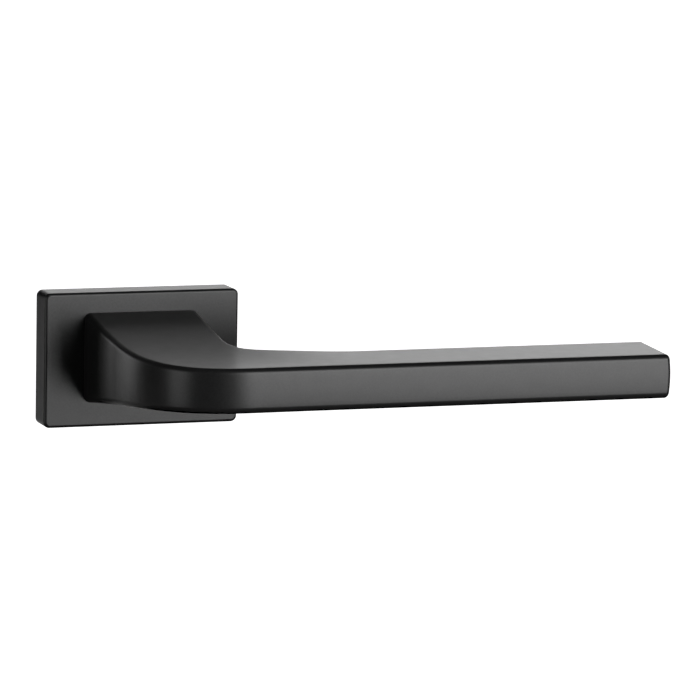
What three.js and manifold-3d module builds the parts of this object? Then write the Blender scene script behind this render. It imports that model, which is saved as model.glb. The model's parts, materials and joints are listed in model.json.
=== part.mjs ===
// Lever handle for an interior door: one side of the set, with its slim rectangular rose.
//
// Millimetres, +Z up. The door face is the plane y = 0 and the turning axis is the Y axis.
// The handle stands out towards -Y and the lever points along +X. A "reach" is a distance
// out from the door face, so a point at reach r lies at y = -r.

import * as THREE from 'three';
import { mergeVertices } from 'three/addons/utils/BufferGeometryUtils.js';
import Module from 'manifold-3d';

const wasm = await Module();
wasm.setup();

// ---------------------------------------------------------------- driving dimensions

const CLEARANCE = 0.3; // between pieces that turn, thread or push into each other

const ROSE_WIDTH = 52;
const ROSE_HEIGHT = 35;
const ROSE_REACH = 8.6;
const ROSE_CORNER = 1.6; // rounding of the four corners, seen from the front
const ROSE_EDGE = 0.8; // rounding of the front edges
const COVER_WALL = 1.4;
const COVER_FRONT = 1.3;

const PLATE_REACH = 7;
const WEB_THICKNESS = 1.6;
const COVER_PLATE_SIZE = 29.2;
const COVER_PLATE_THICKNESS = 0.9;
const COVER_SCREW_OFFSET = 12.2;
const COVER_SCREW_RADIUS = 1.1;
const COVER_SCREW_HEAD_RADIUS = 1.95;
const COVER_SCREW_END = 5.3; // reach of the screw's point, inside the mounting plate

const POST_SPACING = 38;
const POST_RADIUS = 2.8;
const POST_BORE = 1.7; // threaded M4 for the bolts that come through from the far handle
const POST_DEPTH = 11;
const POST_HEAD_RADIUS = 3.7;
const POST_HEAD_SEAT = 4.6;
const BOSS_RADIUS = 4;
const BOSS_DEPTH = 4;

const WOOD_SCREW_X = 20;
const WOOD_SCREW_Z = 11.3;
const WOOD_SCREW_RADIUS = 1.7;
const WOOD_SCREW_HEAD_RADIUS = 3;
const WOOD_SCREW_DEPTH = 13.5;

const SPINDLE_SIZE = 8;
const SPINDLE_INSIDE = 30; // how far out into the neck it reaches
const SPINDLE_DEPTH = 60; // how far into the door

const SPIGOT_RADIUS = 8;
const SPIGOT_START = 1.3; // reach of the spigot's inner end
const BUSH_OUTER_RADIUS = 10.3;
const RING_RADIUS = 10.2; // washer and spring driver
const GROOVE_RADIUS = 7;
const GROOVE_REACH = 4;
const GROOVE_WIDTH = 1.4;
const RETAINING_RING_OUTER = 9.2;
const RETAINING_RING_THICKNESS = 0.8;
const WASHER_FROM = 4.7;
const WASHER_TO = 5.1;
const DRIVER_FRONT = 3.2; // reach of the spring driver's front face
const KEY_WIDTH = 2.6; // of the two keys that lock the spring driver to the spigot
const KEY_FLOOR = 6.5; // radius of the floor of their slots

const LEVER_TRAVEL = 45; // degrees down from level
const STOP_RIB_WIDTH = 3;
const STOP_RIB_RADIUS = 9.6;

const SPRING_RADIUS = 11.4;
const SPRING_WIRE = 1;
const SPRING_FIXED_ANGLE = 110; // degrees, seen from the front
const SPRING_SWEEP = 795; // degrees of wire from the fixed leg to the moving leg
const SPRING_FRONT = 4.4;
const SPRING_BACK = 1.85;
const SPRING_LEG_ANGLE = 14; // degrees of wire in each leg
const SPRING_LEG_OUT = 3.2; // how far the fixed leg stands out from the coils
const SPRING_LEG_IN = 2; // how far the moving leg stands in from them
const POCKET_RADIUS = 13.4;

const NECK_BASE = 9; // reach of the neck's foot, just clear of the rose
const LEVER_REACH = 66.3; // reach of the lever's front face
const LEVER_TIP = 123.9;
const BAR_BACK = 42.3; // reach of the finger side of the bar
const BAR_HALF_HEIGHT = 5.7;
const NECK_RISE = { height: 6.5, power: 1.75 }; // the foot's top above the bar's
const NECK_DROP = { height: 5.35, power: 1.6 }; // the foot's underside below the bar's
const NECK_END = 12; // distance from the axis at which the neck begins to flatten out
const BAR_START = 48; // and at which the bar is level, top and underside
const FOOT_EDGE = 1.7; // rounding of the neck's edges at the foot
const BAR_EDGE = 1.4; // rounding of the bar's edges
const TIP_EDGE = 1;
const TIP_CROWN = 40; // radius of the bar's end, seen from the front
const TIP_SLANT = 0.08; // how much longer the bar is for each millimetre towards the door
const GRUB_RADIUS = 3;
const GRUB_REACH = 20;
const GRUB_HEAD = 8.8; // depth of the screw's outer end below the axis
const GRUB_KEY_RADIUS = 1.73; // to the corners of its hexagon socket

// ---------------------------------------------------------------- materials

const material = (color, roughness, metalness) =>
  new THREE.MeshStandardMaterial({ color, roughness, metalness });

const mattBlack = () => material(0x1d1d1e, 0.55, 0.1);
const zincPlate = () => material(0xa9abb0, 0.4, 0.9);
const castZinc = () => material(0x84868a, 0.5, 0.85);
const springSteel = () => material(0x6f7276, 0.3, 1);
const acetal = () => material(0xe4e2da, 0.5, 0);

// ---------------------------------------------------------------- working with solids

function solid(geometry) {
  const bare = geometry.clone();
  bare.deleteAttribute('normal');
  bare.deleteAttribute('uv');
  const merged = mergeVertices(bare, 1e-4);
  return new wasm.Manifold(
    new wasm.Mesh({
      numProp: 3,
      vertProperties: new Float32Array(merged.attributes.position.array),
      triVerts: new Uint32Array(merged.index.array),
    }),
  );
}

function surface(body) {
  const mesh = body.getMesh();
  const geometry = new THREE.BufferGeometry();
  geometry.setAttribute('position', new THREE.BufferAttribute(mesh.vertProperties, 3));
  geometry.setIndex(new THREE.BufferAttribute(mesh.triVerts, 1));
  geometry.computeVertexNormals();
  return geometry;
}

// A round bar along the turning axis, between two reaches from the door.
function round(radius, from, to, segments = 48) {
  const geometry = new THREE.CylinderGeometry(radius, radius, to - from, segments);
  geometry.translate(0, -(from + to) / 2, 0);
  return solid(geometry);
}

// A hole or bar that reaches well past both sides of what it cuts or joins.
const OVERSHOOT = 1;

// A flat outline in the door's plane, thickened between two reaches.
function slab(shape, from, to, curveSegments = 6) {
  const depth = to - from;
  const geometry = new THREE.ExtrudeGeometry(shape, { depth, bevelEnabled: false, curveSegments });
  geometry.rotateX(Math.PI / 2);
  geometry.translate(0, -from, 0);
  return solid(geometry);
}

// A box given by its lower and upper x, reach and z.
function block([x0, x1], [reach0, reach1], [z0, z1]) {
  const geometry = new THREE.BoxGeometry(x1 - x0, reach1 - reach0, z1 - z0);
  geometry.translate((x0 + x1) / 2, -(reach0 + reach1) / 2, (z0 + z1) / 2);
  return solid(geometry);
}

// The same block on the left or right side, given by its distances from the centre line.
function sideBlock(side, [near, far], reach, z) {
  const x = side > 0 ? [near, far] : [-far, -near];
  return block(x, reach, z);
}

// A turned piece: profile points are [radius, reach], running from axis to axis.
function turned(profile, segments = 32) {
  const points = profile.map(([radius, reach]) => new THREE.Vector2(radius, -reach));
  return solid(new THREE.LatheGeometry(points.reverse(), segments));
}

function roundedRectangle(width, height, radius) {
  const x = width / 2 - radius;
  const z = height / 2 - radius;
  const shape = new THREE.Shape();
  shape.absarc(x, z, radius, 0, Math.PI / 2);
  shape.absarc(-x, z, radius, Math.PI / 2, Math.PI);
  shape.absarc(-x, -z, radius, Math.PI, 1.5 * Math.PI);
  shape.absarc(x, -z, radius, 1.5 * Math.PI, 2 * Math.PI);
  shape.closePath();
  return shape;
}

function sector(inner, outer, fromDegrees, toDegrees) {
  const from = THREE.MathUtils.degToRad(fromDegrees);
  const to = THREE.MathUtils.degToRad(toDegrees);
  const shape = new THREE.Shape();
  shape.absarc(0, 0, outer, from, to, false);
  shape.absarc(0, 0, inner, to, from, true);
  shape.closePath();
  return shape;
}

const handle = new THREE.Group();

function add(name, body, finish) {
  const mesh = new THREE.Mesh(body.isBufferGeometry ? body : surface(body), finish);
  mesh.name = name;
  handle.add(mesh);
}

// ---------------------------------------------------------------- rose

// The rose cover: a shallow black shell with a round opening for the lever's spigot.
function roseCover() {
  const rounded = new THREE.ExtrudeGeometry(roundedRectangle(ROSE_WIDTH, ROSE_HEIGHT, ROSE_CORNER), {
    depth: ROSE_REACH,
    bevelSize: ROSE_EDGE,
    bevelOffset: -ROSE_EDGE,
    bevelThickness: ROSE_EDGE,
    bevelSegments: 4,
    curveSegments: 6,
  });
  rounded.rotateX(Math.PI / 2);
  rounded.translate(0, ROSE_EDGE, 0);
  const behindDoorFace = block([-ROSE_WIDTH, ROSE_WIDTH], [-ROSE_REACH, 0], [-ROSE_HEIGHT, ROSE_HEIGHT]);
  const walls = 2 * COVER_WALL;
  const inside = roundedRectangle(ROSE_WIDTH - walls, ROSE_HEIGHT - walls, ROSE_CORNER / 2);
  return solid(rounded)
    .subtract(behindDoorFace)
    .subtract(slab(inside, -OVERSHOOT, ROSE_REACH - COVER_FRONT))
    .subtract(round(BUSH_OUTER_RADIUS + CLEARANCE, 0, ROSE_REACH + OVERSHOOT));
}

const plateWidth = ROSE_WIDTH - 2 * COVER_WALL - 2 * CLEARANCE;
const plateHeight = ROSE_HEIGHT - 2 * COVER_WALL - 2 * CLEARANCE;
const webBack = PLATE_REACH - WEB_THICKNESS;
const woodHeadTop = PLATE_REACH - 0.6;
const clipNotch = { depth: 1.9, floor: 1.9, halfHeight: 4.6 };

// The cast mounting plate: spring pocket behind, bearing web in front, and two hollow
// bosses that locate it in the door's bolt holes.
function mountingPlate() {
  const front = PLATE_REACH + OVERSHOOT;
  let plate = slab(roundedRectangle(plateWidth, plateHeight, 1), 0, PLATE_REACH);
  for (const x of [-POST_SPACING / 2, POST_SPACING / 2]) {
    const boss = round(BOSS_RADIUS, -BOSS_DEPTH, 1, 32);
    const bore = round(POST_RADIUS + CLEARANCE, -BOSS_DEPTH - OVERSHOOT, front, 24);
    const counterbore = round(POST_HEAD_RADIUS + CLEARANCE, POST_HEAD_SEAT, front, 32);
    plate = plate.add(boss.translate([x, 0, 0])).subtract(bore.add(counterbore).translate([x, 0, 0]));
  }
  for (const [x, z] of fourPlaces(WOOD_SCREW_X, WOOD_SCREW_Z)) {
    plate = plate.subtract(countersink().translate([x, 0, z]));
  }
  const recess = COVER_PLATE_SIZE + 2 * CLEARANCE;
  plate = plate
    .subtract(slab(roundedRectangle(recess, recess, 1.5), -OVERSHOOT, COVER_PLATE_THICKNESS + CLEARANCE))
    .subtract(round(POCKET_RADIUS, 0, webBack, 64))
    .subtract(round(SPIGOT_RADIUS + CLEARANCE, 0, front))
    .subtract(stopSlot())
    .subtract(springLegSlot());
  for (const [x, z] of fourPlaces(COVER_SCREW_OFFSET, COVER_SCREW_OFFSET)) {
    const hole = round(COVER_SCREW_RADIUS + CLEARANCE, 0, COVER_SCREW_END + CLEARANCE, 20);
    plate = plate.subtract(hole.translate([x, 0, z]));
  }
  for (const side of [-1, 1]) {
    const across = [plateWidth / 2 - clipNotch.depth, plateWidth / 2 + OVERSHOOT];
    const up = [-clipNotch.halfHeight, clipNotch.halfHeight];
    plate = plate.subtract(sideBlock(side, across, [clipNotch.floor, front], up));
  }
  return plate;
}

// The web's opening is widened over an arc, so that the rib on the spigot meets a stop
// when the lever is level and again at the end of its travel.
function stopSlot() {
  const ribHalfAngle = THREE.MathUtils.radToDeg(Math.asin(STOP_RIB_WIDTH / 2 / SPIGOT_RADIUS));
  const slack = 2; // degrees
  const from = 90 - LEVER_TRAVEL - ribHalfAngle - slack;
  const to = 90 + ribHalfAngle + slack;
  const arc = sector(SPIGOT_RADIUS - 1, STOP_RIB_RADIUS + CLEARANCE, from, to);
  return slab(arc, webBack - OVERSHOOT, PLATE_REACH + OVERSHOOT, 12);
}

// The slot in the pocket's wall that holds the spring's fixed leg.
function springLegSlot() {
  const halfWidth = 1.9;
  const depth = 1.9;
  const lead = 3.5; // degrees from the leg's end to the middle of its slot
  const slot = block([POCKET_RADIUS - 2, POCKET_RADIUS + depth], [0.5, webBack], [-halfWidth, halfWidth]);
  return slot.rotate([0, lead - SPRING_FIXED_ANGLE, 0]);
}

// The hole for a wood screw, opened out at the plate's front for its sloping head.
function countersink() {
  const shank = WOOD_SCREW_RADIUS + CLEARANCE;
  const head = WOOD_SCREW_HEAD_RADIUS + CLEARANCE;
  const throat = woodHeadTop - (head - shank);
  const front = PLATE_REACH + OVERSHOOT;
  const profile = [[0, -1], [shank, -1], [shank, throat], [head, woodHeadTop], [head, front], [0, front]];
  return turned(profile, 24);
}

// The four places at equal distances either side of the turning axis.
function fourPlaces(x, z) {
  return [[-x, -z], [-x, z], [x, -z], [x, z]];
}

// The sheet-steel plate that closes the spring pocket, flush with the door face, with a
// sloping hole in each corner and a round one for the spindle.
function springCoverPlate() {
  const wide = COVER_SCREW_HEAD_RADIUS + 1.5 * CLEARANCE;
  const narrow = COVER_SCREW_RADIUS + CLEARANCE;
  const inside = COVER_PLATE_THICKNESS + 0.1;
  const sink = turned([[0, -0.1], [wide, -0.1], [narrow, inside], [0, inside]], 20);
  let plate = slab(roundedRectangle(COVER_PLATE_SIZE, COVER_PLATE_SIZE, 1.2), 0, COVER_PLATE_THICKNESS);
  plate = plate.subtract(round(SPINDLE_SIZE * 0.85, -OVERSHOOT, COVER_PLATE_THICKNESS + OVERSHOOT));
  for (const [x, z] of fourPlaces(COVER_SCREW_OFFSET, COVER_SCREW_OFFSET)) {
    plate = plate.subtract(sink.translate([x, 0, z]));
  }
  return plate;
}

// A cross recess: two narrow slots through each other.
function crossRecess(halfLength, halfWidth, reach) {
  const level = block([-halfLength, halfLength], reach, [-halfWidth, halfWidth]);
  const upright = block([-halfWidth, halfWidth], reach, [-halfLength, halfLength]);
  return level.add(upright);
}

// A countersunk screw with a cross recess, holding the spring cover plate.
function coverScrew() {
  const face = 0.05;
  const screw = turned([
    [0, face], [COVER_SCREW_HEAD_RADIUS, face], [COVER_SCREW_RADIUS, COVER_PLATE_THICKNESS],
    [COVER_SCREW_RADIUS, COVER_SCREW_END - 0.7], [0, COVER_SCREW_END],
  ], 20);
  return screw.subtract(crossRecess(1.1, 0.2, [0, 0.5]));
}

// A folded leaf of spring steel in the plate's end, whose bowed side grips the cover's wall.
function coverClip() {
  const width = 8;
  const sheet = 0.45;
  const back = plateWidth / 2 - clipNotch.depth + CLEARANCE;
  const bow = plateWidth / 2; // the bowed side's furthest point
  const bowReach = 4.2;
  const foot = clipNotch.floor + CLEARANCE;
  const fold = 6.5; // reach of the fold that joins the two sides
  const leaf = new THREE.Shape();
  leaf.moveTo(back, foot);
  leaf.lineTo(back, fold);
  leaf.lineTo(bow - 0.55, fold);
  leaf.lineTo(bow, bowReach);
  leaf.lineTo(bow - 0.4, foot);
  leaf.lineTo(bow - 0.4 - sheet, foot);
  leaf.lineTo(bow - sheet, bowReach);
  leaf.lineTo(bow - 0.5 - sheet, fold - sheet);
  leaf.lineTo(back + sheet, fold - sheet);
  leaf.lineTo(back + sheet, foot);
  leaf.closePath();
  const geometry = new THREE.ExtrudeGeometry(leaf, { depth: width, bevelEnabled: false });
  geometry.rotateX(Math.PI);
  geometry.translate(0, 0, width / 2);
  return solid(geometry);
}

// A steel post, threaded inside, that takes the bolt from the far side of the door. Its
// flanged head is slotted and sits in the plate's counterbore.
function threadedPost() {
  const seat = POST_HEAD_SEAT + CLEARANCE;
  const top = PLATE_REACH - CLEARANCE;
  const chamfer = 0.4;
  const slotDepth = 0.7;
  const post = turned([
    [POST_BORE, -POST_DEPTH], [POST_RADIUS - chamfer, -POST_DEPTH], [POST_RADIUS, -POST_DEPTH + chamfer],
    [POST_RADIUS, seat], [POST_HEAD_RADIUS, seat], [POST_HEAD_RADIUS, top - chamfer],
    [POST_HEAD_RADIUS - chamfer, top], [POST_BORE, top], [POST_BORE, -POST_DEPTH],
  ]);
  return post.subtract(block([-5, 5], [top - slotDepth, top + OVERSHOOT], [-0.5, 0.5]));
}

// A countersunk wood screw with a cross recess and a tapering point.
function woodScrew() {
  const slope = WOOD_SCREW_HEAD_RADIUS - WOOD_SCREW_RADIUS;
  const taperStart = 8.5;
  const screw = turned([
    [0, -WOOD_SCREW_DEPTH], [WOOD_SCREW_RADIUS, -taperStart], [WOOD_SCREW_RADIUS, woodHeadTop - slope],
    [WOOD_SCREW_HEAD_RADIUS, woodHeadTop], [0, woodHeadTop + 0.2],
  ], 24);
  return screw.subtract(crossRecess(1.6, 0.3, [woodHeadTop - 1.4, woodHeadTop + OVERSHOOT]));
}

// ---------------------------------------------------------------- turning parts

// The bearing bush that the spigot turns in, seated in the cover's opening.
function bearingBush() {
  const from = PLATE_REACH + CLEARANCE;
  const to = NECK_BASE - CLEARANCE;
  const bore = round(SPIGOT_RADIUS + CLEARANCE, from - OVERSHOOT, to + OVERSHOOT);
  return round(BUSH_OUTER_RADIUS, from, to).subtract(bore);
}

// The square steel spindle that turns the latch, with a short taper on each end.
function spindle() {
  const half = SPINDLE_SIZE / 2;
  const taper = 1;
  const corner = half * Math.SQRT2 + CLEARANCE;
  const bar = block([-half, half], [-SPINDLE_DEPTH, SPINDLE_INSIDE], [-half, half]);
  const tapered = turned([
    [0, -SPINDLE_DEPTH], [corner - taper, -SPINDLE_DEPTH], [corner, -SPINDLE_DEPTH + taper],
    [corner, SPINDLE_INSIDE - taper], [corner - taper, SPINDLE_INSIDE], [0, SPINDLE_INSIDE],
  ]);
  return bar.intersect(tapered);
}

// The driver ring: keyed to the spigot, it carries the spring's moving leg round.
function springDriver() {
  const through = [0, DRIVER_FRONT + OVERSHOOT];
  const bore = round(SPIGOT_RADIUS + CLEARANCE, ...through);
  let driver = round(RING_RADIUS, SPIGOT_START, DRIVER_FRONT).subtract(bore);
  for (const side of [-1, 1]) {
    const across = [KEY_FLOOR + CLEARANCE, SPIGOT_RADIUS + OVERSHOOT];
    const up = [-KEY_WIDTH / 2, KEY_WIDTH / 2];
    driver = driver.add(sideBlock(side, across, [SPIGOT_START, DRIVER_FRONT], up));
  }
  const halfWidth = 1.7;
  const floor = 8.8; // radius of the notch's floor
  const lead = 4; // degrees from the leg's end to the middle of its notch
  const notch = block([floor, RING_RADIUS + OVERSHOOT], through, [-halfWidth, halfWidth]);
  return driver.subtract(notch.rotate([0, -movingLegAngle - lead, 0]));
}

// The open retaining ring in the spigot's groove, which keeps the lever in the rose. An
// ear with a hole for the pliers ends each side of its opening.
function retainingRing() {
  const from = GROOVE_REACH - RETAINING_RING_THICKNESS / 2;
  const to = GROOVE_REACH + RETAINING_RING_THICKNESS / 2;
  const inner = GROOVE_RADIUS + CLEARANCE;
  const openHalfAngle = 24;
  const earAngle = 8; // degrees from the ring's end to the middle of its ear
  const earCentre = 8.5;
  const start = -90 + openHalfAngle;
  const end = 270 - openHalfAngle;
  let ring = slab(sector(inner, RETAINING_RING_OUTER, start, end), from, to, 16);
  for (const angle of [start + earAngle, end - earAngle]) {
    const ear = round(1.6, from, to, 20).translate([earCentre, 0, 0]);
    const hole = round(0.6, from - OVERSHOOT, to + OVERSHOOT, 16).translate([earCentre, 0, 0]);
    ring = ring.add(ear.rotate([0, -angle, 0])).subtract(hole.rotate([0, -angle, 0]));
  }
  return ring.subtract(round(inner, 0, PLATE_REACH));
}

// The flat washer between the web and the retaining ring.
function thrustWasher() {
  const hole = round(SPIGOT_RADIUS + CLEARANCE, WASHER_FROM - OVERSHOOT, WASHER_TO + OVERSHOOT);
  return round(RING_RADIUS, WASHER_FROM, WASHER_TO).subtract(hole);
}

// The centre line of the return spring: coils round the driver, with one leg bent out
// into the plate and the other bent in to the driver.
const movingLegAngle = (SPRING_FIXED_ANGLE - SPRING_SWEEP) % 360;

class SpringWire extends THREE.Curve {
  getPoint(t, target = new THREE.Vector3()) {
    const swept = t * SPRING_SWEEP;
    const angle = THREE.MathUtils.degToRad(SPRING_FIXED_ANGLE - swept);
    const outward = SPRING_LEG_OUT * (1 - THREE.MathUtils.smoothstep(swept, 0, SPRING_LEG_ANGLE));
    const lastLeg = SPRING_SWEEP - SPRING_LEG_ANGLE;
    const inward = SPRING_LEG_IN * THREE.MathUtils.smoothstep(swept, lastLeg, SPRING_SWEEP);
    const radius = SPRING_RADIUS + outward - inward;
    const reach = THREE.MathUtils.lerp(SPRING_FRONT, SPRING_BACK, t);
    return target.set(radius * Math.cos(angle), -reach, radius * Math.sin(angle));
  }
}

function returnSpring() {
  const section = new THREE.Shape();
  section.absarc(0, 0, SPRING_WIRE / 2, 0, 2 * Math.PI);
  return new THREE.ExtrudeGeometry(section, {
    steps: 84,
    curveSegments: 4,
    bevelEnabled: false,
    extrudePath: new SpringWire(),
  });
}

// A cup-point set screw in the underside of the neck, turned with a hexagon key.
function grubScrew() {
  const tip = SPINDLE_SIZE / 2 + CLEARANCE;
  const chamfer = 0.8;
  const profile = [
    [0, -GRUB_HEAD], [GRUB_RADIUS, -GRUB_HEAD], [GRUB_RADIUS, -tip - chamfer],
    [GRUB_RADIUS - chamfer, -tip], [0, -tip],
  ];
  const screw = solid(new THREE.LatheGeometry(profile.map(([r, y]) => new THREE.Vector2(r, y)), 32));
  const socket = new THREE.CylinderGeometry(GRUB_KEY_RADIUS, GRUB_KEY_RADIUS, 5, 6);
  socket.translate(0, -GRUB_HEAD, 0);
  return screw.subtract(solid(socket)).rotate([90, 0, 0]).translate([0, -GRUB_REACH, 0]);
}

// ---------------------------------------------------------------- lever

const at = (x, reach) => new THREE.Vector2(x, reach);

// How far the lever's top or underside is from its middle at a place seen from above:
// furthest at the foot, closing in one hollow curve to the bar's half height.
function spread({ height, power }, { x, y: reach }) {
  const inward = (LEVER_REACH - reach) / (LEVER_REACH - NECK_BASE);
  const left = 1 - THREE.MathUtils.smoothstep(x, NECK_END, BAR_START);
  return BAR_HALF_HEIGHT + height * Math.max(inward, 0) ** power * left;
}

// Pairs of points seen from above, one on the lever's outer side and one on its finger
// side, from the neck's foot round the bend and along the bar.
function leverStations() {
  const bendStart = 32;
  const bendEnd = 26;
  const neckOuter = new THREE.LineCurve(at(-15.6, NECK_BASE), at(-14.5, bendStart));
  const neckInner = new THREE.LineCurve(at(15.1, NECK_BASE), at(14.7, bendStart));
  const bendOuter = new THREE.CurvePath();
  bendOuter.add(new THREE.CubicBezierCurve(
    at(-14.5, bendStart), at(-14, 49.5), at(-9.6, LEVER_REACH), at(12, LEVER_REACH),
  ));
  bendOuter.add(new THREE.LineCurve(at(12, LEVER_REACH), at(bendEnd, LEVER_REACH)));
  const bendInner = new THREE.CubicBezierCurve(
    at(14.7, bendStart), at(14.5, BAR_BACK), at(19, BAR_BACK), at(bendEnd, BAR_BACK),
  );
  const stations = [];
  const neckSteps = 7;
  const bendSteps = 20;
  const sweepSteps = 9;
  for (let i = 0; i < neckSteps; i += 1) {
    stations.push([neckOuter.getPoint(i / neckSteps), neckInner.getPoint(i / neckSteps)]);
  }
  for (let i = 0; i < bendSteps; i += 1) {
    stations.push([bendOuter.getPoint(i / bendSteps), bendInner.getPointAt(i / bendSteps)]);
  }
  for (let i = 0; i <= sweepSteps; i += 1) {
    const x = THREE.MathUtils.lerp(bendEnd, BAR_START, i / sweepSteps);
    stations.push([at(x, LEVER_REACH), at(x, BAR_BACK)]);
  }
  return stations;
}

// One closed ring of points round the lever: a rectangle with rounded corners, stood on
// the line between two paired points. The inset draws it in for the rounded tip.
function ringAt([outer, inner], edge, inset = 0) {
  const cornerSteps = 4;
  const flatSteps = 4;
  const sideSteps = 4;
  const radius = edge - inset;
  const across = inner.clone().sub(outer);
  const flat = across.length() / 2 - inset - radius;
  across.normalize();
  const middle = outer.clone().add(inner).multiplyScalar(0.5);
  const steps = [];
  for (let i = 0; i <= cornerSteps; i += 1) {
    const angle = (i / cornerSteps) * (Math.PI / 2);
    steps.push([flat + radius * Math.cos(angle), radius * (1 - Math.sin(angle))]);
  }
  for (let i = 1; i < flatSteps; i += 1) {
    steps.push([THREE.MathUtils.lerp(flat, -flat, i / flatSteps), 0]);
  }
  for (let i = cornerSteps; i >= 0; i -= 1) {
    const angle = (i / cornerSteps) * (Math.PI / 2);
    steps.push([-flat - radius * Math.cos(angle), radius * (1 - Math.sin(angle))]);
  }
  const upper = [];
  const lower = [];
  for (const [along, drop] of steps) {
    const spot = middle.clone().addScaledVector(across, along);
    const { x, y: reach } = spot;
    upper.push(new THREE.Vector3(x, -reach, spread(NECK_RISE, spot) - inset - drop));
    lower.unshift(new THREE.Vector3(x, -reach, inset + drop - spread(NECK_DROP, spot)));
  }
  const outerSide = [];
  const innerSide = [];
  for (let i = 1; i < sideSteps; i += 1) {
    outerSide.push(upper.at(-1).clone().lerp(lower[0], i / sideSteps));
    innerSide.push(lower.at(-1).clone().lerp(upper[0], i / sideSteps));
  }
  return [...upper, ...outerSide, ...lower, ...innerSide];
}

// A ring near the bar's end, set back from the tip. The end is a little longer on the
// finger side than in front, and is crowned: fullest at mid height.
function tipRing(setBack, inset) {
  const x = LEVER_TIP - setBack;
  const ring = ringAt([at(x, LEVER_REACH), at(x, BAR_BACK)], BAR_EDGE, inset);
  for (const point of ring) {
    point.x += TIP_SLANT * (LEVER_REACH + point.y) - point.z ** 2 / (2 * TIP_CROWN);
  }
  return ring;
}

// A skin over a run of rings, closed by a fan of triangles at each end.
function loft(rings) {
  const count = rings[0].length;
  const positions = rings.flat();
  const last = rings.length - 1;
  const sum = (ring) => ring.reduce((total, point) => total.add(point), new THREE.Vector3());
  const centre = (ring) => sum(ring).divideScalar(count);
  positions.push(centre(rings[0]), centre(rings[last]));
  const startCentre = positions.length - 2;
  const endCentre = positions.length - 1;
  const index = [];
  for (let i = 0; i < count; i += 1) {
    const next = (i + 1) % count;
    index.push(startCentre, next, i, endCentre, last * count + i, last * count + next);
    for (let k = 0; k < last; k += 1) {
      const near = k * count;
      const far = near + count;
      index.push(near + i, near + next, far + next, near + i, far + next, far + i);
    }
  }
  const geometry = new THREE.BufferGeometry().setFromPoints(positions);
  geometry.setIndex(index);
  return solid(geometry);
}

// The one-piece casting: neck, bend and bar, with the spigot that turns in the rose.
function leverHandle() {
  const rings = leverStations().map(([outer, inner]) => {
    const along = THREE.MathUtils.clamp((inner.y - NECK_BASE) / (BAR_BACK - NECK_BASE), 0, 1);
    return ringAt([outer, inner], THREE.MathUtils.lerp(FOOT_EDGE, BAR_EDGE, along));
  });
  const tipSteps = 3;
  for (let i = 0; i <= tipSteps; i += 1) {
    const angle = (i / tipSteps) * (Math.PI / 2);
    rings.push(tipRing(TIP_EDGE * (1 - Math.sin(angle)), TIP_EDGE * (1 - Math.cos(angle))));
  }
  const spigot = round(SPIGOT_RADIUS, SPIGOT_START, NECK_BASE + 1);
  return loft(rings)
    .add(spigot)
    .add(stopRib())
    .subtract(spigotGroove())
    .subtract(socketAndKeys())
    .subtract(grubHole());
}

// The rib on top of the spigot that meets the stops in the plate's web.
function stopRib() {
  const half = STOP_RIB_WIDTH / 2;
  return block([-half, half], [webBack + 0.1, PLATE_REACH - 0.1], [SPIGOT_RADIUS - 1, STOP_RIB_RADIUS]);
}

// The groove round the spigot for the retaining ring.
function spigotGroove() {
  const half = GROOVE_WIDTH / 2;
  const ring = round(SPIGOT_RADIUS + OVERSHOOT, GROOVE_REACH - half, GROOVE_REACH + half);
  return ring.subtract(round(GROOVE_RADIUS, 0, NECK_BASE));
}

// The square socket for the spindle, and the two slots for the spring driver's keys.
function socketAndKeys() {
  const half = SPINDLE_SIZE / 2 + CLEARANCE;
  const keyHalf = KEY_WIDTH / 2 + CLEARANCE;
  const across = [KEY_FLOOR, SPIGOT_RADIUS + OVERSHOOT];
  let cut = block([-half, half], [0, SPINDLE_INSIDE + OVERSHOOT], [-half, half]);
  for (const side of [-1, 1]) {
    cut = cut.add(sideBlock(side, across, [0, DRIVER_FRONT + CLEARANCE], [-keyHalf, keyHalf]));
  }
  return cut;
}

// The hole up into the socket for the grub screw.
function grubHole() {
  const radius = GRUB_RADIUS + CLEARANCE;
  const length = 12;
  const hole = new THREE.CylinderGeometry(radius, radius, length, 32);
  hole.rotateX(Math.PI / 2);
  hole.translate(0, -GRUB_REACH, -(SPINDLE_SIZE + length) / 2);
  return solid(hole);
}

// ---------------------------------------------------------------- assembly

add('rose_cover', roseCover(), mattBlack());
add('mounting_plate', mountingPlate(), castZinc());
add('bearing_bush', bearingBush(), acetal());
add('spring_cover_plate', springCoverPlate(), zincPlate());
fourPlaces(COVER_SCREW_OFFSET, COVER_SCREW_OFFSET).forEach(([x, z], i) => {
  add(`cover_plate_screw_${i + 1}`, coverScrew().translate([x, 0, z]), zincPlate());
});
fourPlaces(WOOD_SCREW_X, WOOD_SCREW_Z).forEach(([x, z], i) => {
  add(`wood_screw_${i + 1}`, woodScrew().translate([x, 0, z]), zincPlate());
});
add('threaded_post_left', threadedPost().translate([-POST_SPACING / 2, 0, 0]), zincPlate());
add('threaded_post_right', threadedPost().translate([POST_SPACING / 2, 0, 0]), zincPlate());
add('cover_clip_right', coverClip(), springSteel());
add('cover_clip_left', coverClip().rotate([0, 180, 0]), springSteel());
add('return_spring', returnSpring(), springSteel());
add('spring_driver', springDriver(), zincPlate());
add('retaining_ring', retainingRing(), springSteel());
add('thrust_washer', thrustWasher(), zincPlate());
add('spindle', spindle(), zincPlate());
add('grub_screw', grubScrew(), springSteel());
add('lever_handle', leverHandle(), mattBlack());

export default handle;
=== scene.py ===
import json
import math

import bmesh
import bpy
from mathutils import Matrix, Vector

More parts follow.
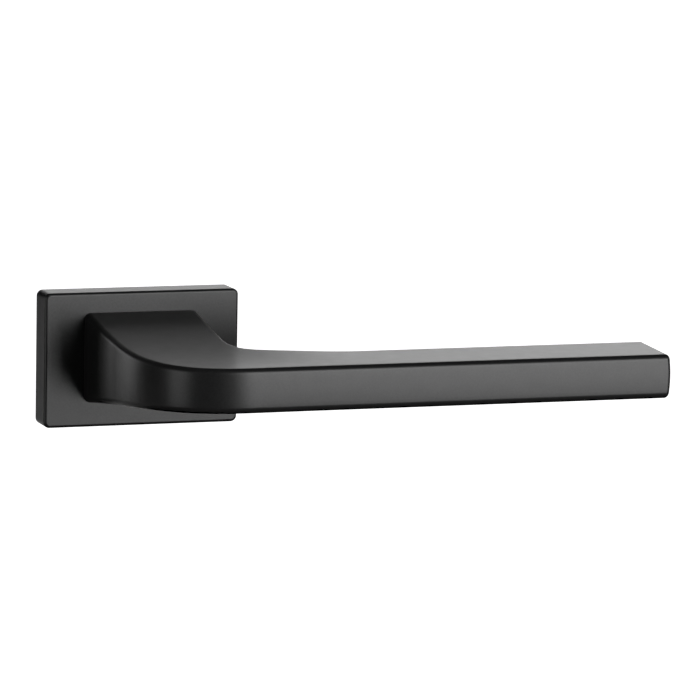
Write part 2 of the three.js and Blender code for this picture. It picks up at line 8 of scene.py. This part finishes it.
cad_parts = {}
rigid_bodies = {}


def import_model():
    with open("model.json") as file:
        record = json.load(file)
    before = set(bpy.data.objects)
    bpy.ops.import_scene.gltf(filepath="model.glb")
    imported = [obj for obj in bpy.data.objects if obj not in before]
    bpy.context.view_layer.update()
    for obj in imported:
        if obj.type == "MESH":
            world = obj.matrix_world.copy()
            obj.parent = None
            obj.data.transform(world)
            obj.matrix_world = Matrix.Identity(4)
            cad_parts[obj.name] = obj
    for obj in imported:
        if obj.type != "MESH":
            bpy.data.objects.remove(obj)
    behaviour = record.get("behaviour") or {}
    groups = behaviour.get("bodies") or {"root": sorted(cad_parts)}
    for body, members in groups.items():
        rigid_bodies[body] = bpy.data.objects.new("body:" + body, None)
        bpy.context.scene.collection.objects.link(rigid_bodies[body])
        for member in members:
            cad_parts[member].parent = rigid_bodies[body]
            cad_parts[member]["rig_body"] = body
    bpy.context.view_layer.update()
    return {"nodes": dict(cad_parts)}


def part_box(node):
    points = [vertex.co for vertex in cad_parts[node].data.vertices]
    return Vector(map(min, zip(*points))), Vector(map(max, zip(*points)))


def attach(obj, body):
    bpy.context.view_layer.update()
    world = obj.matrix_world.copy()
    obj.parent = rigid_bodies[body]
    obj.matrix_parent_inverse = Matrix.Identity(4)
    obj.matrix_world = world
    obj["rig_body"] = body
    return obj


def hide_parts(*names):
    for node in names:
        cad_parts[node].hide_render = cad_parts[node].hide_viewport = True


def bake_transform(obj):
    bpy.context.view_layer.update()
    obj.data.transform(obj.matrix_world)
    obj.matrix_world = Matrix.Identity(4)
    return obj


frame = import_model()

MM = 0.001


# Mounting plate. A zinc die casting that screws to the door under the rose cover. It holds
# the spring pocket, the two stops and the bearing web, and its bosses sit in the bolt holes.

def look(name, colour, metallic, roughness):
    """A new material and the parts of it that every finish starts from."""
    material = bpy.data.materials.new(name)
    material.use_nodes = True
    shader = material.node_tree.nodes["Principled BSDF"]
    shader.inputs["Base Color"].default_value = (*colour, 1)
    shader.inputs["Metallic"].default_value = metallic
    shader.inputs["Roughness"].default_value = roughness
    return material, material.node_tree, shader


def grain(tree, size, stretch=(1, 1, 1), detail=3.0):
    """Fine uneven spots of about that size in metres, drawn out along an axis where asked."""
    place = tree.nodes.new("ShaderNodeTexCoord")
    scale = tree.nodes.new("ShaderNodeMapping")
    scale.inputs["Scale"].default_value = stretch
    spots = tree.nodes.new("ShaderNodeTexNoise")
    spots.inputs["Scale"].default_value = 1 / size
    spots.inputs["Detail"].default_value = detail
    tree.links.new(place.outputs["Object"], scale.inputs["Vector"])
    tree.links.new(scale.outputs["Vector"], spots.inputs["Vector"])
    return spots.outputs["Fac"]


def spread(tree, source, low, high, socket):
    """Carries a grain to a shader's socket as a number between low and high."""
    remap = tree.nodes.new("ShaderNodeMapRange")
    remap.inputs["From Min"].default_value = 0.3
    remap.inputs["From Max"].default_value = 0.7
    remap.inputs["To Min"].default_value = low
    remap.inputs["To Max"].default_value = high
    tree.links.new(source, remap.inputs["Value"])
    tree.links.new(remap.outputs["Result"], socket)


def tint(tree, source, dark, light, socket):
    """Carries a grain to a shader's colour, from dark to light."""
    ramp = tree.nodes.new("ShaderNodeValToRGB")
    ramp.color_ramp.elements[0].position = 0.3
    ramp.color_ramp.elements[1].position = 0.7
    ramp.color_ramp.elements[0].color = (*dark, 1)
    ramp.color_ramp.elements[1].color = (*light, 1)
    tree.links.new(source, ramp.inputs["Fac"])
    tree.links.new(ramp.outputs["Color"], socket)


def relief(tree, shader, source, height, strength=1.0):
    """Raises the surface by up to height metres where the grain is high."""
    bump = tree.nodes.new("ShaderNodeBump")
    bump.inputs["Distance"].default_value = height
    bump.inputs["Strength"].default_value = strength
    tree.links.new(source, bump.inputs["Height"])
    tree.links.new(bump.outputs["Normal"], shader.inputs["Normal"])


def cast_zinc():
    """Bare zinc die casting: dull grey with a slightly lumpy skin."""
    material, tree, shader = look("cast_zinc", (0.33, 0.34, 0.35), 0.9, 0.5)
    skin = grain(tree, 0.9 * MM, detail=5)
    tint(tree, skin, (0.25, 0.255, 0.265), (0.40, 0.41, 0.42), shader.inputs["Base Color"])
    spread(tree, grain(tree, 4 * MM), 0.42, 0.62, shader.inputs["Roughness"])
    relief(tree, shader, skin, 0.03 * MM, 0.6)
    return material


def eased(name, radius, finish, segments=3):
    """A finished copy of a plain machined piece, with its sharp edges rounded off."""
    source = frame["nodes"][name]
    shape = bmesh.new()
    shape.from_mesh(source.data)
    bmesh.ops.remove_doubles(shape, verts=shape.verts, dist=0.002 * MM)
    bmesh.ops.dissolve_limit(shape, angle_limit=math.radians(0.5), verts=shape.verts, edges=shape.edges)
    mesh = bpy.data.meshes.new(name + "_finished")
    shape.to_mesh(mesh)
    shape.free()
    piece = bpy.data.objects.new(name + "_finished", mesh)
    bpy.context.scene.collection.objects.link(piece)
    mesh.materials.append(finish)
    edge = piece.modifiers.new("edge", "BEVEL")
    edge.width = radius
    edge.segments = segments
    edge.limit_method = "ANGLE"
    edge.angle_limit = math.radians(30)
    edge.miter_outer = "MITER_ARC"
    smooth(piece, 30)
    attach(piece, source["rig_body"])
    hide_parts(name)
    return piece


def smooth(piece, angle):
    """Shades a piece as rounded, apart from its edges sharper than that angle."""
    for face in piece.data.polygons:
        face.use_smooth = True
    piece.data.set_sharp_from_angle(angle=math.radians(angle))
    even = piece.modifiers.new("even", "WEIGHTED_NORMAL")
    even.keep_sharp = True
    even.weight = 80


zinc = cast_zinc()
eased("mounting_plate", 0.12 * MM, zinc)


# Bearing bush. A ring of natural acetal pressed into the cover's opening, which the
# lever's spigot turns in without grease.

def natural_acetal():
    """Milky, waxy plastic that lets a little light in."""
    material, tree, shader = look("natural_acetal", (0.75, 0.74, 0.70), 0.0, 0.45)
    haze = grain(tree, 1.2 * MM)
    tint(tree, haze, (0.68, 0.67, 0.62), (0.78, 0.77, 0.73), shader.inputs["Base Color"])
    spread(tree, haze, 0.38, 0.52, shader.inputs["Roughness"])
    relief(tree, shader, grain(tree, 0.25 * MM), 0.01 * MM, 0.4)
    shader.inputs["Subsurface Weight"].default_value = 0.1
    shader.inputs["Subsurface Scale"].default_value = 0.5 * MM
    return material


acetal = natural_acetal()
eased("bearing_bush", 0.2 * MM, acetal)


# Threaded posts. Turned steel, threaded M4 inside for the bolts that come through the door
# from the far handle, with a slotted flange in the plate's counterbore.

def zinc_plate(name, stretch):
    """Bright zinc plate, with the fine marks of the tool that made the piece under it."""
    material, tree, shader = look(name, (0.62, 0.63, 0.65), 1.0, 0.3)
    lines = grain(tree, 0.25 * MM, stretch)
    cloud = grain(tree, 5 * MM)
    tint(tree, cloud, (0.52, 0.54, 0.57), (0.68, 0.69, 0.70), shader.inputs["Base Color"])
    spread(tree, lines, 0.24, 0.42, shader.inputs["Roughness"])
    relief(tree, shader, lines, 0.006 * MM, 0.5)
    return material


turned_steel = zinc_plate("turned_zinc_plate", (1, 4, 1))
for name in ("threaded_post_left", "threaded_post_right"):
    eased(name, 0.12 * MM, turned_steel)


# Wood screws. Four countersunk cross-head screws at the plate's corners, zinc plated, with
# a coarse rolled thread that tapers to a point.

def skin(name, rings, looped=False):
    """A closed surface over a run of rings that all have the same number of points."""
    shape = bmesh.new()
    rows = [[shape.verts.new(point) for point in ring] for ring in rings]
    count = len(rows[0])
    following = rows[1:] + ([rows[0]] if looped else [])
    for near, far in zip(rows, following):
        for k in range(count):
            after = (k + 1) % count
            shape.faces.new((near[k], near[after], far[after], far[k]))
    if not looped:
        shape.faces.new(rows[0][::-1])
        shape.faces.new(rows[-1])
    bmesh.ops.recalc_face_normals(shape, faces=shape.faces)
    mesh = bpy.data.meshes.new(name)
    shape.to_mesh(mesh)
    shape.free()
    piece = bpy.data.objects.new(name, mesh)
    bpy.context.scene.collection.objects.link(piece)
    return piece


def screw_thread(name, node, core, crest, pitch, head_end):
    """A helical ridge round a screw's shank, growing from its point towards its head."""
    low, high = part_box(node)
    centre = (low + high) / 2
    tip = high.y
    length = tip - head_end
    around = 20
    along = round(length / pitch * 8)
    rings = []
    for i in range(along + 1):
        from_tip = length * i / along
        grown = min(1.0, from_tip / (5 * MM))
        fade = min(1.0, (length - from_tip) / pitch)
        ring = []
        for k in range(around):
            angle = 2 * math.pi * k / around
            phase = (from_tip / pitch + k / around) % 1
            ridge = max(0.0, 1 - abs(phase - 0.5) / 0.25)
            radius = grown * (core + (crest - core) * ridge * fade)
            radius = max(radius, 0.06 * MM)
            x = centre.x + radius * math.cos(angle)
            z = centre.z + radius * math.sin(angle)
            ring.append((x, tip - from_tip, z))
        rings.append(ring)
    thread = skin(name, rings)
    smooth(thread, 50)
    return thread


def trim(piece, keep_from, keep_to):
    """Keeps the part of a piece between two distances along Y, and closes its ends."""
    shape = bmesh.new()
    shape.from_mesh(piece.data)
    for end, outward in ((keep_from, -1), (keep_to, 1)):
        everything = shape.verts[:] + shape.edges[:] + shape.faces[:]
        cut = bmesh.ops.bisect_plane(
            shape, geom=everything, plane_co=(0, end, 0), plane_no=(0, outward, 0), clear_outer=True
        )
        rim = [item for item in cut["geom_cut"] if isinstance(item, bmesh.types.BMEdge)]
        if rim:
            bmesh.ops.edgeloop_fill(shape, edges=rim)
    shape.to_mesh(piece.data)
    shape.free()


head_and_shank = 4.5 * MM
thread_core = 1.15 * MM
thread_crest = 1.7 * MM
thread_pitch = 1.6 * MM
overlap = 0.2 * MM
for i in range(1, 5):
    node = f"wood_screw_{i}"
    low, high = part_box(node)
    shank_end = low.y + head_and_shank
    head = eased(node, 0.08 * MM, turned_steel, segments=2)
    trim(head, low.y - overlap, shank_end)
    thread_start = shank_end - overlap
    thread = screw_thread(f"{node}_thread", node, thread_core, thread_crest, thread_pitch, thread_start)
    thread.data.materials.append(turned_steel)
    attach(thread, "rose")


# Return spring. A torsion spring of oiled steel wire, coiled round the driver, with one leg
# in a slot of the plate and the other in a notch of the driver, so it winds as the lever turns.

def spring_steel():
    """Dark, oiled spring steel."""
    material, tree, shader = look("oiled_spring_steel", (0.2, 0.21, 0.22), 1.0, 0.28)
    drawn = grain(tree, 0.3 * MM, (1, 2, 1))
    tint(tree, grain(tree, 3 * MM), (0.15, 0.15, 0.16), (0.26, 0.265, 0.27), shader.inputs["Base Color"])
    spread(tree, drawn, 0.2, 0.38, shader.inputs["Roughness"])
    relief(tree, shader, drawn, 0.005 * MM, 0.5)
    return material


oiled_steel = spring_steel()


def ease(share):
    """Rises smoothly from 0 to 1."""
    share = min(max(share, 0.0), 1.0)
    return share * share * (3 - 2 * share)


def spring_wire():
    """The wire along its whole length: out of the plate, round the coils, in to the driver."""
    low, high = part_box("return_spring")
    wire = 0.5 * MM
    coil = 11.4 * MM
    fixed_angle = math.radians(110)
    sweep = math.radians(795)
    leg = math.radians(14)
    outer_leg = 3.2 * MM
    inner_leg = 2 * MM
    front = low.y + wire
    back = high.y - wire
    steps = 420
    around = 14
    centres = []
    for i in range(steps + 1):
        share = i / steps
        swept = sweep * share
        outward = outer_leg * (1 - ease(swept / leg))
        inward = inner_leg * ease((swept - sweep + leg) / leg)
        angle = fixed_angle - swept
        radius = coil + outward - inward
        y = front + (back - front) * share
        centres.append(Vector((radius * math.cos(angle), y, radius * math.sin(angle))))
    rings = []
    for i, centre in enumerate(centres):
        ahead = centres[min(i + 1, steps)] - centres[max(i - 1, 0)]
        side = ahead.cross(Vector((0, 1, 0))).normalized()
        up = side.cross(ahead).normalized()
        turns = [2 * math.pi * k / around for k in range(around)]
        rings.append([centre + wire * (math.cos(a) * side + math.sin(a) * up) for a in turns])
    spring = skin("return_spring_wire", rings)
    spring.data.materials.append(oiled_steel)
    smooth(spring, 50)
    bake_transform(spring)
    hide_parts("return_spring")


spring_wire()


# Spring driver, thrust washer and retaining ring. Stamped steel parts on the spigot: the
# driver is keyed to it, and the open ring in its groove keeps the lever in the plate.

stamped_steel = zinc_plate("stamped_zinc_plate", (1, 1, 1))
eased("spring_driver", 0.1 * MM, stamped_steel)
eased("thrust_washer", 0.08 * MM, stamped_steel)
eased("retaining_ring", 0.08 * MM, oiled_steel)


# Spring cover plate. A square of stamped sheet steel, flush with the door face, held over
# the spring pocket by four small countersunk screws.

eased("spring_cover_plate", 0.08 * MM, stamped_steel)
for i in range(1, 5):
    eased(f"cover_plate_screw_{i}", 0.05 * MM, turned_steel)


# Cover clips. Two folded leaves of spring steel in the plate's ends, which grip the rose
# cover from inside when it is pushed on.

eased("cover_clip_left", 0.08 * MM, oiled_steel)
eased("cover_clip_right", 0.08 * MM, oiled_steel)


# Rose cover. A thin-walled zinc casting, powder coated matt black, with softly rounded
# front edges. It hides the plate and its screws and clips over both.

def powder_black(name):
    """Matt black powder coat: near black, finely pebbled, a little uneven in its sheen."""
    material, tree, shader = look(name, (0.012, 0.012, 0.0122), 0.0, 0.34)
    pebble = grain(tree, 0.4 * MM, detail=2)
    tint(tree, pebble, (0.009, 0.009, 0.0092), (0.016, 0.016, 0.0162), shader.inputs["Base Color"])
    spread(tree, grain(tree, 3 * MM), 0.33, 0.35, shader.inputs["Roughness"])
    relief(tree, shader, pebble, 0.006 * MM, 0.5)
    return material


black = powder_black("matt_black_powder")


def outline(width, height, corner, turns=12, straights=12):
    """Points round a rectangle with rounded corners, as x and z pairs."""
    points = []
    for quarter in range(4):
        sx = 1 if quarter in (0, 3) else -1
        sz = 1 if quarter in (0, 1) else -1
        cx = sx * (width / 2 - corner)
        cz = sz * (height / 2 - corner)
        for i in range(turns + 1):
            angle = math.radians(90 * (quarter + i / turns))
            points.append((cx + corner * math.cos(angle), cz + corner * math.sin(angle)))
        end = points[-1]
        if quarter % 2 == 0:
            after = (-end[0], end[1])
        else:
            after = (end[0], -end[1])
        for i in range(1, straights):
            share = i / straights
            points.append((end[0] + (after[0] - end[0]) * share, end[1] + (after[1] - end[1]) * share))
    return points


def ring_on(points, y):
    """The outline's points, at one distance along Y."""
    return [Vector((x, y, z)) for x, z in points]


def rose_cover():
    """The cover's shell: rim, sides, rounded front edges, front with its hole, and inside."""
    low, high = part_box("rose_cover")
    width, depth, height = high - low
    corner = 1.6 * MM
    edge = 0.8 * MM
    rim_edge = 0.3 * MM
    wall = 1.4 * MM
    front_wall = 1.3 * MM
    hole = 10.6 * MM
    hole_edge = 0.25 * MM
    rings = []
    for i in range(5):
        angle = math.radians(90 * i / 4)
        inset = rim_edge * (1 - math.sin(angle))
        y = high.y - rim_edge * (1 - math.cos(angle))
        rings.append(ring_on(outline(width - 2 * inset, height - 2 * inset, corner - inset), y))
    for i in range(9):
        angle = math.radians(90 * i / 8)
        inset = edge * (1 - math.cos(angle))
        y = low.y + edge * (1 - math.sin(angle))
        rings.append(ring_on(outline(width - 2 * inset, height - 2 * inset, corner - inset), y))
    full = outline(width, height, corner)
    bearing = [math.atan2(z, x) for x, z in full]
    for i in range(5):
        angle = math.radians(90 * i / 4)
        radius = hole + hole_edge * (1 - math.sin(angle))
        y = low.y + hole_edge * (1 - math.cos(angle))
        rings.append([Vector((radius * math.cos(a), y, radius * math.sin(a))) for a in bearing])
    inside = low.y + front_wall
    rings.append([Vector((hole * math.cos(a), inside, hole * math.sin(a))) for a in bearing])
    hollow = outline(width - 2 * wall, height - 2 * wall, corner / 2)
    rings.append(ring_on(hollow, inside))
    rings.append(ring_on(hollow, high.y))
    cover = skin("rose_cover_shell", rings, looped=True)
    cover.data.materials.append(black)
    smooth(cover, 35)
    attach(cover, "rose")
    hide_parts("rose_cover")


rose_cover()


# Lever handle. One zinc casting, powder coated with the rose: a rectangular foot, a neck
# that thins in one hollow curve, a wide bend and a flat straight bar with eased edges. Its
# spigot turns in the rose, and a threaded hole under the neck takes the grub screw.

lever_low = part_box("lever_handle")[0]
lever_front = -lever_low.y
foot_reach = 9 * MM
bar_back = 42.3 * MM
neck_end = 12 * MM
bar_start = 48 * MM
level_from = 50 * MM
bar_half = 5.7 * MM
neck_rise = (6.5 * MM, 1.75)
neck_drop = (5.35 * MM, 1.6)
foot_edge = 1.7 * MM
bar_edge = 1.4 * MM
low_edge = 1.7 * MM
tip_x = 123.9 * MM
tip_edge = 1 * MM
tip_crown = 40 * MM
tip_slant = 0.08
crown = 0.18 * MM


def spread_from_middle(extra_and_power, spot):
    """How far the lever's top or underside is from its middle, at a place seen from above."""
    extra, power = extra_and_power
    inward = max((lever_front - spot.y) / (lever_front - foot_reach), 0)
    left = ease((bar_start - spot.x) / (bar_start - neck_end))
    return bar_half + extra * inward ** power * left


def curve(points, share):
    """A point on the cubic curve that four points shape."""
    a, b, c, d = (Vector(point) * MM for point in points)
    left = 1 - share
    return left**3 * a + 3 * left**2 * share * b + 3 * left * share**2 * c + share**3 * d


def along(points, share):
    """The point at that share of a line's length."""
    lengths = [(b - a).length for a, b in zip(points, points[1:])]
    left = share * sum(lengths)
    for start, end, length in zip(points, points[1:], lengths):
        if left <= length:
            return start.lerp(end, left / length)
        left -= length
    return points[-1]


def lever_stations():
    """Pairs of points seen from above: outer side and finger side, from foot to tip."""
    foot = foot_reach / MM
    front = lever_front / MM
    back = bar_back / MM
    bend_start = 32
    bend_end = 26
    neck_steps = 24
    bend_steps = 72
    bar_steps = 24
    fine = 80
    pairs = []
    for i in range(neck_steps):
        share = i / neck_steps
        outer = Vector((-15.6, foot)).lerp(Vector((-14.5, bend_start)), share) * MM
        inner = Vector((15.1, foot)).lerp(Vector((14.7, bend_start)), share) * MM
        pairs.append((outer, inner))
    outer_bend = ((-14.5, bend_start), (-14, 49.5), (-9.6, front), (12, front))
    inner_bend = ((14.7, bend_start), (14.5, back), (19, back), (bend_end, back))
    outer_line = [curve(outer_bend, i / fine) for i in range(fine + 1)]
    outer_line.append(Vector((bend_end, front)) * MM)
    inner_line = [curve(inner_bend, i / fine) for i in range(fine + 1)]
    for i in range(bend_steps):
        pairs.append((along(outer_line, i / bend_steps), along(inner_line, i / bend_steps)))
    for i in range(bar_steps):
        x = bend_end * MM + (level_from - bend_end * MM) * i / bar_steps
        pairs.append((Vector((x, lever_front)), Vector((x, bar_back))))
    return pairs


def edged(half, finger_edge, outer_edge):
    """Offset and drop along a face that is rounded over at both ends."""
    turns = [math.radians(90 * i / 8) for i in range(9)]
    flat_steps = 10
    start = half - finger_edge
    end = outer_edge - half
    steps = [(start + finger_edge * math.cos(a), finger_edge * (1 - math.sin(a))) for a in turns]
    steps += [(start + (end - start) * i / flat_steps, 0) for i in range(1, flat_steps)]
    steps += [(end - outer_edge * math.cos(a), outer_edge * (1 - math.sin(a))) for a in reversed(turns)]
    return steps


def lever_ring(outer, inner, edge, inset=0.0):
    """The lever's outline where it is cut on the line between a pair of points."""
    half = (inner - outer).length / 2 - inset
    across = (inner - outer).normalized()
    middle = (outer + inner) / 2
    upper = []
    for offset, drop in edged(half, edge - inset, edge - inset):
        spot = middle + across * offset
        top = spread_from_middle(neck_rise, spot) - inset - drop
        upper.append(Vector((spot.x, -spot.y, top)))
    lower = []
    for offset, drop in edged(half, edge - inset, max(edge, low_edge) - inset):
        spot = middle + across * offset
        bottom = inset + drop - spread_from_middle(neck_drop, spot)
        lower.insert(0, Vector((spot.x, -spot.y, bottom)))
    side_steps = 8
    outer_side = [upper[-1].lerp(lower[0], i / side_steps) for i in range(1, side_steps)]
    inner_side = [lower[-1].lerp(upper[0], i / side_steps) for i in range(1, side_steps)]
    ring = upper + outer_side + lower + inner_side
    inward = Vector((across.x, -across.y, 0))
    reach_across = (inner - outer).length
    height = spread_from_middle(neck_rise, outer)
    for point in ring:
        from_inner = (Vector((inner.x, -inner.y, 0)) - point).dot(inward) / reach_across
        point += inward * crown * min(max(from_inner, 0), 1) * (point.z / height) ** 2
    return ring


def tip_ring(set_back, inset, shrink=1.0):
    """An outline near the bar's end, which is longer on the finger side and crowned."""
    ring = lever_ring(Vector((tip_x, lever_front)), Vector((tip_x, bar_back)), bar_edge, inset)
    middle = Vector((tip_x, -(lever_front + bar_back) / 2, 0))
    ring = [middle.lerp(point, shrink) for point in ring]
    for point in ring:
        point.x -= set_back + point.z**2 / (2 * tip_crown) - tip_slant * (lever_front + point.y)
    return ring


def turned_plug(name, profile, reach, around=48):
    """A solid of revolution about an upright line at a reach from the door."""
    rings = []
    for radius, height in profile:
        turns = [2 * math.pi * k / around for k in range(around)]
        points = [(radius * math.cos(a), radius * math.sin(a) - reach) for a in turns]
        rings.append([Vector((x, y, height)) for x, y in points])
    return skin(name, rings)


def hollow_out(piece, cutters):
    """Cuts the shapes away from a piece for good, and removes them."""
    for cutter in cutters:
        cut = piece.modifiers.new("cut", "BOOLEAN")
        cut.operation = "DIFFERENCE"
        cut.solver = "EXACT"
        cut.object = cutter
    shaped = piece.evaluated_get(bpy.context.evaluated_depsgraph_get())
    piece.data = bpy.data.meshes.new_from_object(shaped)
    piece.modifiers.clear()
    for cutter in cutters:
        bpy.data.objects.remove(cutter)


def lever_handle():
    """The casting's foot, neck, bend and bar, with its grub hole and spindle socket."""
    rings = []
    for outer, inner in lever_stations():
        share = min(max((inner.y - foot_reach) / (bar_back - foot_reach), 0), 1)
        rings.append(lever_ring(outer, inner, foot_edge + (bar_edge - foot_edge) * share))
    bar_steps = 20
    before_tip = tip_x - 3 * MM
    for i in range(bar_steps):
        x = level_from + (before_tip - level_from) * i / bar_steps
        rings.append(lever_ring(Vector((x, lever_front)), Vector((x, bar_back)), bar_edge))
    for i in range(9):
        angle = math.radians(90 * i / 8)
        rings.append(tip_ring(tip_edge * (1 - math.sin(angle)), tip_edge * (1 - math.cos(angle))))
    end_steps = 10
    for i in range(1, end_steps):
        rings.append(tip_ring(0, tip_edge, 1 - i / end_steps))
    lever = skin("lever_casting", rings)
    lever.data.materials.append(black)
    grub_profile = [(3.3, -2), (3.3, -9), (4.2, -9.9), (4.2, -16)]
    grub_profile = [(radius * MM, height * MM) for radius, height in grub_profile]
    grub_hole = turned_plug("grub_hole", grub_profile, reach=20 * MM)
    socket_width = 8.6 * MM
    square = outline(socket_width, socket_width, 0.4 * MM)
    socket_from = 8 * MM
    socket_to = 31 * MM
    socket = skin("spindle_socket", [ring_on(square, -socket_from), ring_on(square, -socket_to)])
    hollow_out(lever, [grub_hole, socket])
    smooth(lever, 35)
    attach(lever, "lever")
    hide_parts("lever_handle")


lever_handle()


def lever_spigot():
    """The turned spigot behind the foot, with its groove, key slots and stop rib."""
    spigot = eased("lever_handle", 0.08 * MM, black, segments=2)
    spigot.name = "lever_spigot"
    just_inside_foot = 0.01 * MM - foot_reach
    trim(spigot, just_inside_foot, 0)


lever_spigot()


# Spindle and grub screw. The 8 mm square steel bar runs from the neck through the latch,
# gripped by a hexagon-socket set screw from under the neck.

drawn_steel = zinc_plate("drawn_zinc_plate", (4, 0.15, 4))
eased("spindle", 0.25 * MM, drawn_steel)
eased("grub_screw", 0.1 * MM, oiled_steel)


# Studio. A pale paper sweep behind the handle that glows with painted light, unlit under
# the handle and brightest far behind it, soft lamps in front, and a camera to the left of the handle and
# a little above it.

def arithmetic(tree, operation, first, second):
    """One sum on a grain or coordinate: the second can be another one or a number."""
    sum_node = tree.nodes.new("ShaderNodeMath")
    sum_node.operation = operation
    tree.links.new(first, sum_node.inputs[0])
    if isinstance(second, float):
        sum_node.inputs[1].default_value = second
    else:
        tree.links.new(second, sum_node.inputs[1])
    return sum_node.outputs["Value"]


def ramp(tree, source, places, values):
    """Turns a coordinate into a number that runs through the values at the places."""
    curve_node = tree.nodes.new("ShaderNodeFloatCurve")
    start = -1.0
    span = 8.0
    highest = 4.0
    points = curve_node.mapping.curves[0].points
    while len(points) < len(places):
        points.new(0.5, 0.5)
    for point, at, value in zip(points, places, values):
        point.location = ((at - start) / span, value / highest)
        point.handle_type = "VECTOR"
    curve_node.mapping.update()
    shift = tree.nodes.new("ShaderNodeMapRange")
    shift.inputs["From Min"].default_value = start
    shift.inputs["From Max"].default_value = start + span
    shift.clamp = True
    tree.links.new(source, shift.inputs["Value"])
    tree.links.new(shift.outputs["Result"], curve_node.inputs["Value"])
    return arithmetic(tree, "MULTIPLY", curve_node.outputs["Value"], highest)


def painted_glow_paper():
    """Pale paper with a painted glow and no lamp behind it: unlit under the handle, brightest far behind
    it, dimmer high up and off to the left.
    """
    material, tree, shader = look("painted_glow_paper", (0.8, 0.8, 0.8), 0.0, 0.9)
    place = tree.nodes.new("ShaderNodeTexCoord")
    apart = tree.nodes.new("ShaderNodeSeparateXYZ")
    tree.links.new(place.outputs["Object"], apart.inputs["Vector"])
    # Painted light: the glow is nil under the handle and rises behind it and to the right, in place of
    # lamps lighting the far paper.
    depth = ramp(tree, apart.outputs["Y"], (0.5, 0.9, 4.5, 6.0, 7.6), (0.0, 1.15, 1.25, 1.9, 1.9))
    height = ramp(tree, apart.outputs["Z"], (-0.4, 0.7, 1.5, 2.5, 7.0), (1.0, 0.87, 0.5, 0.09, 0.02))
    slant = 0.14
    drift = arithmetic(tree, "MULTIPLY", apart.outputs["Y"], slant)
    aside = arithmetic(tree, "SUBTRACT", apart.outputs["X"], drift)
    across = ramp(tree, aside, (-0.5, -0.1, 0.05, 1.0, 2.4), (0.12, 0.3, 1.0, 1.0, 1.5))
    glow = arithmetic(tree, "MULTIPLY", depth, height)
    glow = arithmetic(tree, "MULTIPLY", glow, across)
    shader.inputs["Emission Color"].default_value = (1, 1, 1, 1)
    tree.links.new(glow, shader.inputs["Emission Strength"])
    return material


def pale_sweep():
    """The paper: flat under the handle's level, then curled up into a wall behind it."""
    half_width = 6.0
    floor_height = -0.32
    flat_from = 0.2
    flat_to = 5.0
    curl = 2.5
    curl_steps = 24
    wall_top = 6.0
    profile = [(flat_from, floor_height), (flat_to, floor_height)]
    for i in range(1, curl_steps + 1):
        angle = math.radians(90 * i / curl_steps)
        profile.append((flat_to + curl * math.sin(angle), floor_height + curl * (1 - math.cos(angle))))
    profile.append((flat_to + curl, wall_top))
    shape = bmesh.new()
    left = [shape.verts.new((-half_width, y, z)) for y, z in profile]
    right = [shape.verts.new((half_width, y, z)) for y, z in profile]
    for i in range(len(profile) - 1):
        shape.faces.new((left[i], right[i], right[i + 1], left[i + 1]))
    mesh = bpy.data.meshes.new("pale_floor")
    shape.to_mesh(mesh)
    shape.free()
    floor = bpy.data.objects.new("pale_floor", mesh)
    bpy.context.scene.collection.objects.link(floor)
    mesh.materials.append(painted_glow_paper())
    for face in mesh.polygons:
        face.use_smooth = True


pale_sweep()


def soft_lamp(name, place, aim, width, height, power):
    """A large soft panel that faces the point it is aimed at."""
    lamp = bpy.data.lights.new(name, "AREA")
    lamp.shape = "RECTANGLE"
    lamp.size = width
    lamp.size_y = height
    lamp.energy = power
    panel = bpy.data.objects.new(name, lamp)
    panel.location = place
    panel.rotation_euler = (Vector(aim) - Vector(place)).to_track_quat("-Z", "Y").to_euler()
    bpy.context.scene.collection.objects.link(panel)


centre = (0.05, -0.03, 0.0)
soft_lamp("right_front_panel", (0.66, -1.34, 0.2), centre, 0.8, 1.2, 16)
soft_lamp("left_front_panel", (-1.3, -0.5, 0.1), centre, 0.7, 1.0, 3.0)
soft_lamp("left_back_panel", (-1.2, 1.6, 0.1), centre, 0.6, 1.0, 3.1)

world = bpy.data.worlds.new("studio_air")
world.use_nodes = True
world.node_tree.nodes["Background"].inputs["Color"].default_value = (1, 1, 1, 1)
world.node_tree.nodes["Background"].inputs["Strength"].default_value = 0.03
bpy.context.scene.world = world
bpy.context.scene.view_settings.view_transform = "Standard"


def camera():
    """A long lens to the left of the handle, a little above it and turned a degree on its side."""
    around = math.radians(18.943)
    above = math.radians(8.652)
    tilt = math.radians(1.080)
    forward = Vector((
        math.sin(around) * math.cos(above),
        math.cos(around) * math.cos(above),
        -math.sin(above),
    ))
    right = forward.cross(Vector((0, 0, 1))).normalized()
    up = right.cross(forward)
    right, up = (
        right * math.cos(tilt) + up * math.sin(tilt),
        up * math.cos(tilt) - right * math.sin(tilt),
    )
    to_right = 56.536 * MM
    raised = 0.866 * MM
    distance = 1273.287 * MM
    place = right * to_right + up * raised - forward * distance
    lens = bpy.data.cameras.new("camera")
    lens.sensor_width = 36
    lens.lens = 251.94
    lens.clip_start = 0.05
    lens.clip_end = 50
    view = bpy.data.objects.new("camera", lens)
    turn = Matrix((right, up, -forward)).transposed().to_4x4()
    view.matrix_world = Matrix.Translation(place) @ turn
    bpy.context.scene.collection.objects.link(view)
    bpy.context.scene.camera = view


camera()
